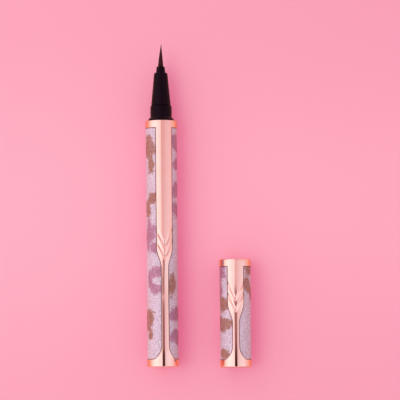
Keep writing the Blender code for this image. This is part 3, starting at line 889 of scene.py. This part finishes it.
penInside = {
    "sleeve": 5.65, "sleeveBore": 5.2, "sleeveFoot": 1.6, "sleeveHead": 96.0,
    "tank": 5.1, "tankBore": 4.5, "tankHead": 80.0,
    "gasketFoot": 80.1, "gasketHead": 80.9,
    "collectorFoot": 81.1, "collectorHead": 95.7,
    "collectorCore": 2.4, "collectorRim": 4.4, "collectorBore": 1.14, "fins": 7, "fin": 0.6,
    "feed": 1.04, "feedFoot": 82.3, "feedHead": 112.4, "feedTurns": 48,
    "ball": 2.0, "ballDrop": 2.4, "ballHeight": 30.0, "ballTurns": 64,
    "round": 0.12, "softRound": 0.25,
    "fullCircle": (0, 345, 24),  # first and last degree, points
    "halfCircle": (0, 180, 33),
}


def tube(outer, bore, foot, head):
    return stepped(bore, head, outer, foot, bore)


def circle(radius, middleRadius, middleHeight, startDegrees, endDegrees, steps):
    turn = np.radians(np.linspace(startDegrees, endDegrees, steps))
    return np.stack([middleRadius + radius * np.sin(turn), middleHeight + radius * np.cos(turn)], -1)


def insideThePen():
    own, soft = penInside, penInside["round"]
    sleeve = tube(own["sleeve"], own["sleeveBore"], own["sleeveFoot"], own["sleeveHead"])
    turned("barrelSleeve", sleeve, penPlace, whitePlastic, "pen", "barrel_liner", soft)
    tank = tube(own["tank"], own["tankBore"], own["sleeveFoot"], own["tankHead"])
    turned("inkTank", tank, penPlace, tankPlastic, "pen", "ink_tank", soft)
    gasket = tube(own["tank"], own["tankBore"], own["gasketFoot"], own["gasketHead"])
    turned("tankGasket", gasket, penPlace, sealRubber, "pen", "tank_gasket", own["softRound"])
    half = ends["sealThickness"] / 2
    ringSection = circle(half, ends["spigot"] - half, ends["sealHeight"], *own["fullCircle"])
    turned("tailSealRing", ringSection, penPlace, sealRubber, "pen", "tail_seal", 0)

    # The collector: fins at an even pitch on a hollow core
    pitch = (own["collectorHead"] - own["collectorFoot"] - own["fin"]) / (own["fins"] - 1)
    comb = [own["collectorBore"]]
    for fin in range(own["fins"]):
        head = own["collectorHead"] - fin * pitch
        comb += [head, own["collectorRim"], head - own["fin"], own["collectorCore"]]
    comb = stepped(*comb[:-1], own["collectorBore"])
    turned("inkCollector", comb, penPlace, whitePlastic, "pen", "collector", soft)

    rod = stepped(0, own["feedHead"], own["feed"], own["feedFoot"], 0)
    turned("feedRod", rod, penPlace, inkFelt, "pen", "feed_rod", own["softRound"], own["feedTurns"])


def mixingBall():
    # It lies lowest in the tank, so its own axis is the pen's, moved straight down.
    own = penInside
    lower = dict(penPlace, z=penPlace["z"] - own["ballDrop"])
    section = circle(own["ball"], 0, own["ballHeight"], *own["halfCircle"])
    turned("mixingBall", section, lower, steel, "mixing_ball", "mixing_ball", 0, own["ballTurns"])


insideThePen()
mixingBall()
print("inside of the pen ready")


# Inside the cap

capInside = {
    "liner": 5.65, "linerFoot": 0.4, "linerHead": 40.5,
    "mouthBore": 5.25, "mouthHead": 2.0, "gripBore": 4.37, "ledge": 8.0, "chamber": 5.0,
    "innerFoot": 8.1, "innerHead": 33.6, "innerFlange": 4.9, "innerFlangeRise": 1.2,
    "innerBody": 4.2, "innerBore": 3.1, "innerEnd": 1.0, "innerSeat": 0.25, "innerSeatRise": 2.4,
    "boss": 1.9, "bossRise": 0.8, "plug": 4.9, "plugFoot": 39.5,
    "springRadius": 2.6, "springWire": 0.44, "springTurns": 4.5, "springGap": 0.1,
    "springStepsPerTurn": 48, "springSides": 14,
    "push": 2.4, "round": 0.15,
}


def insideTheCap():
    own, soft, boss = capInside, capInside["round"], capInside["boss"]
    bore = stepped(own["chamber"], own["linerHead"], own["liner"], own["linerFoot"], own["mouthBore"])
    bore += stepped(own["mouthBore"], own["mouthHead"], own["gripBore"], own["ledge"], own["chamber"])
    turned("capLiner", bore, capPlace, whitePlastic, "cap", "cap_liner", soft)

    foot, head, seat = own["innerFoot"], own["innerHead"], own["innerBore"] + own["innerSeat"]
    body, flange, flangeHead = own["innerBody"], own["innerFlange"], foot + own["innerFlangeRise"]
    innerCap = [
        *stepped(0, head + own["bossRise"], boss, head, body, flangeHead, flange, foot),
        (seat + own["innerSeat"], foot),
        (seat, foot + own["innerSeat"]),
        (own["innerBore"], foot + own["innerSeatRise"]),
        *stepped(own["innerBore"], head - own["innerEnd"], 0),
    ]
    turned("innerCap", innerCap, capPlace, whitePlastic, "inner_cap", "inner_cap", soft)

    foot, bossFoot = own["plugFoot"], own["plugFoot"] - own["bossRise"]
    plug = stepped(0, own["linerHead"], own["plug"], foot, boss, bossFoot, 0)
    turned("capPlug", plug, capPlace, whitePlastic, "cap", "cap_plug", soft)


def innerSpring():
    # A wire carried along a helix. Each ring of points stands square to the helix's slope.
    own = capInside
    half = own["springWire"] / 2
    foot = own["innerHead"] + own["springGap"] + half
    head = own["plugFoot"] - own["springGap"] - half
    steps, sides = round(own["springTurns"] * own["springStepsPerTurn"]) + 1, own["springSides"]
    share = np.linspace(0, 1, steps)[:, None]
    turn = 2 * math.pi * own["springTurns"] * share
    pitch = (head - foot) / (2 * math.pi * own["springTurns"])
    slope = math.atan2(pitch, own["springRadius"])
    side = np.linspace(0, 2 * math.pi, sides, endpoint=False)[None, :]
    outward, upward = half * np.cos(side), half * np.sin(side)
    radius = own["springRadius"] + outward + 0 * turn
    along = -upward * math.sin(slope)
    x = radius * np.cos(turn) - along * np.sin(turn)
    y = radius * np.sin(turn) + along * np.cos(turn)
    height = foot + (head - foot) * share + upward * math.cos(slope)
    points = np.stack([x, y, height], -1)
    mesh = skin("innerCapSpring", points, ringQuads(steps, sides), capPlace)
    closeUp(mesh, strands=True)
    made = piece(mesh, steel, "cap", "inner_cap_spring")
    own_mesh(made)


insideTheCap()
innerSpring()
print("inside of the cap ready")


# Stage: floor, light and camera

stage = {
    "floor": (0.445, 0.379, 0.385),
    "floorGlow": (0.532, 0.0, 0.11),
    "glowInMetal": (0.34, 0.0, 0.01),
    "mirroredNear": (0.57, 0.31, 0.25),
    "mirroredFar": (0.57, 0.62, 0.52),
    "mirrorReach": (0.004, 0.075), "floorSize": 12, "floorRoughness": 0.9,
    # endFall and rightFall darken the floor's colour towards its ends and to the right: a painted falloff of
    # light
    "endFall": 0.90, "endReach": (0.005, 0.080), "rightFall": 0.94, "rightReach": (-0.060, 0.066),
    "backdrop": (0.97, 0.62, 0.70),
    "skyStrength": 2.0, "tipDirection": 0.098, "tailDirection": 0.017,
}
# Sky colours by angle from the zenith, in degrees towards +X, halved so that they stay under one:
# first as the tip's end mirrors them, then as the tail's end does
sky = [
    (-90, (0.50, 0.41, 0.40), (0.50, 0.41, 0.40)),
    (-67, (0.62, 0.58, 0.62), (0.63, 0.61, 0.64)),
    (-50, (0.67, 0.64, 0.68), (0.68, 0.66, 0.70)),
    (-35, (0.65, 0.61, 0.65), (0.66, 0.62, 0.66)),
    (-20, (0.60, 0.54, 0.58), (0.62, 0.57, 0.61)),
    (-8, (0.55, 0.49, 0.52), (0.60, 0.54, 0.58)),
    (-4, (0.52, 0.45, 0.48), (0.58, 0.52, 0.56)),
    (0, (0.40, 0.26, 0.285), (0.43, 0.34, 0.38)),
    (16, (0.40, 0.27, 0.30), (0.455, 0.40, 0.46)),
    (38, (0.435, 0.335, 0.37), (0.48, 0.485, 0.55)),
    (54, (0.455, 0.355, 0.40), (0.49, 0.49, 0.56)),
    (71, (0.47, 0.335, 0.38), (0.50, 0.45, 0.50)),
    (90, (0.46, 0.26, 0.28), (0.47, 0.30, 0.33)),
]
# The same for light that matt surfaces gather, in grey: more from the left than from the right
softSky = [
    (-90, 0.56), (-60, 0.82), (-30, 0.78), (-10, 0.44), (0, 0.32),
    (30, 0.34), (50, 0.47), (70, 0.56), (90, 0.58),
]


def skyDome():
    world = bpy.data.worlds.new("softSky")
    bpy.context.scene.world = world
    world.use_nodes = True
    tree = world.node_tree
    direction = parted(tree, node(tree, "TexCoord").outputs["Generated"])
    angle = calculated(tree, "ARCTAN2", direction["X"], direction["Z"])
    degree = math.radians(1)
    tailward = ranged(tree, direction["Y"], stage["tipDirection"], stage["tailDirection"], 0, 1)
    tip = ramp(tree, angle, [(at, colour) for at, colour, _ in sky], degree)
    tail = ramp(tree, angle, [(at, colour) for at, _, colour in sky], degree)
    soft = ramp(tree, angle, softSky, degree)
    ray = node(tree, "LightPath").outputs
    colour = mixed(tree, ray["Is Diffuse Ray"], mixed(tree, tailward, tip, tail), soft)
    lit = dimmed(tree, colour, stage["skyStrength"])
    seen = mixed(tree, ray["Is Camera Ray"], lit, stage["backdrop"])
    tree.links.new(seen, tree.nodes["Background"].inputs["Color"])


def stagePlane(name, size):
    bpy.ops.mesh.primitive_plane_add(size=size)
    bpy.context.object.name = name
    return bpy.context.object


def floorPlane():
    # Matt pink that glows a little. Metal mirrors another pink, which turns paler with distance, and the
    # floor's colour is painted darker towards both ends and to the right, a painted falloff of light.
    floor = stagePlane("floor", stage["floorSize"])
    made, tree, shader = newMaterial("pinkFloor")
    ray = node(tree, "LightPath").outputs
    away = ranged(tree, ray["Ray Length"], *stage["mirrorReach"], 0, 1, smooth=True)
    mirrored = mixed(tree, away, stage["mirroredNear"], stage["mirroredFar"])
    place = parted(tree, objectPlace(tree))
    fromMiddle = calculated(tree, "ABSOLUTE", place["Y"])
    lengthwise = ranged(tree, fromMiddle, *stage["endReach"], 1, stage["endFall"], smooth=True)
    crosswise = ranged(tree, place["X"], *stage["rightReach"], 1, stage["rightFall"])
    # Painted falloff of light: the floor's colour darkens towards both ends and to the right.
    paintedFalloff = dimmed(tree, stage["floor"], times(tree, lengthwise, crosswise))
    fill(tree, shader, {
        "Base Color": mixed(tree, ray["Is Glossy Ray"], paintedFalloff, mirrored),
        "Emission Color": mixed(tree, ray["Is Glossy Ray"], stage["floorGlow"], stage["glowInMetal"]),
        "Emission Strength": 1.0,
        "Roughness": stage["floorRoughness"],
        "Specular IOR Level": 0.0,
    })
    floor.data.materials.append(made)


keyLight = {
    "from": (-0.45, -0.04, 0.72), "size": 0.40, "watts": 0.9, "colour": (1.0, 0.98, 0.96),
}


def sideLight():
    # A soft light from the left that metal doesn't mirror: it gives the shadow its side.
    data = bpy.data.lights.new("sideLight", "AREA")
    data.size = keyLight["size"]
    data.energy = keyLight["watts"]
    data.color = keyLight["colour"]
    lamp = newObject("sideLight", data)
    lamp.location = keyLight["from"]
    lamp.rotation_euler = (-lamp.location).to_track_quat("-Z", "Y").to_euler()
    lamp.visible_glossy = False


darkCard = {
    "height": 0.30, "left": -0.034, "right": 0.076, "softX": 0.010, "back": 0.000, "front": -0.400,
    "glow": (0.30, 0.02, 0.01), "warmth": 1.9,
}
# The card's cover by its place along Y
cardCover = [
    (-0.060, 0.97), (-0.0527, 0.94), (-0.0507, 0.87), (-0.0478, 0.79),
    (-0.045, 0.74), (-0.0215, 0.70), (-0.0195, 0.0),
]


def overheadCard():
    # A dark card over the objects: its reflection draws the line down each stem, and it grows denser
    # towards the tail. Where it covers less, it glows red.
    card = darkCard
    flag = stagePlane("overheadCard", 1)
    flag.scale = (card["right"] - card["left"], card["back"] - card["front"], 1)
    flag.location = ((card["right"] + card["left"]) / 2, (card["back"] + card["front"]) / 2, card["height"])
    made, tree, _ = newMaterial("cardBlack")
    tree.nodes.clear()
    place = parted(tree, node(tree, "NewGeometry").outputs["Position"])
    sides = times(
        tree,
        ranged(tree, place["X"], card["left"], card["left"] + card["softX"], 0, 1, smooth=True),
        ranged(tree, place["X"], card["right"] - card["softX"], card["right"], 1, 0, smooth=True),
    )
    cover = times(tree, sides, ramp(tree, place["Y"], cardCover))
    clear = node(tree, "BsdfTransparent").outputs[0]
    warmth = times(tree, calculated(tree, "SUBTRACT", 1.0, cover), card["warmth"])
    dark = node(tree, "Emission", {"Color": (*card["glow"], 1), "Strength": warmth}).outputs[0]
    mix = node(tree, "MixShader", {0: cover, 1: clear, 2: dark})
    node(tree, "OutputMaterial", {"Surface": mix.outputs[0]})
    flag.data.materials.append(made)
    flag.visible_camera = False
    flag.visible_diffuse = False
    flag.visible_shadow = False


view = {
    "centre": (0.000775, 0.00192, 0.00625), "distance": 1.2, "frameWidth": 0.1579, "farthest": 50,
    "elevation": 85.85, "lean": 0.52,  # degrees
    "sensor": 36,  # millimetres
}


def photoCamera():
    data = bpy.data.cameras.new("photoCamera")
    camera = newObject("photoCamera", data)
    elevation = math.radians(view["elevation"])
    x, y, z = view["centre"]
    reach = view["distance"]
    camera.location = (x, y - reach * math.cos(elevation), z + reach * math.sin(elevation))
    camera.rotation_mode = "XYZ"
    camera.rotation_euler = (math.pi / 2 - elevation, 0, 0)
    bpy.context.view_layer.update()
    camera.rotation_euler.rotate_axis("Z", math.radians(-view["lean"]))
    data.sensor_width = view["sensor"]
    data.lens = data.sensor_width * reach / view["frameWidth"]
    data.clip_end = view["farthest"]
    bpy.context.scene.camera = camera


skyDome()
floorPlane()
sideLight()
overheadCard()
photoCamera()
bpy.context.scene.view_settings.view_transform = "Standard"
bpy.context.scene.view_settings.look = "None"
print("stage ready")
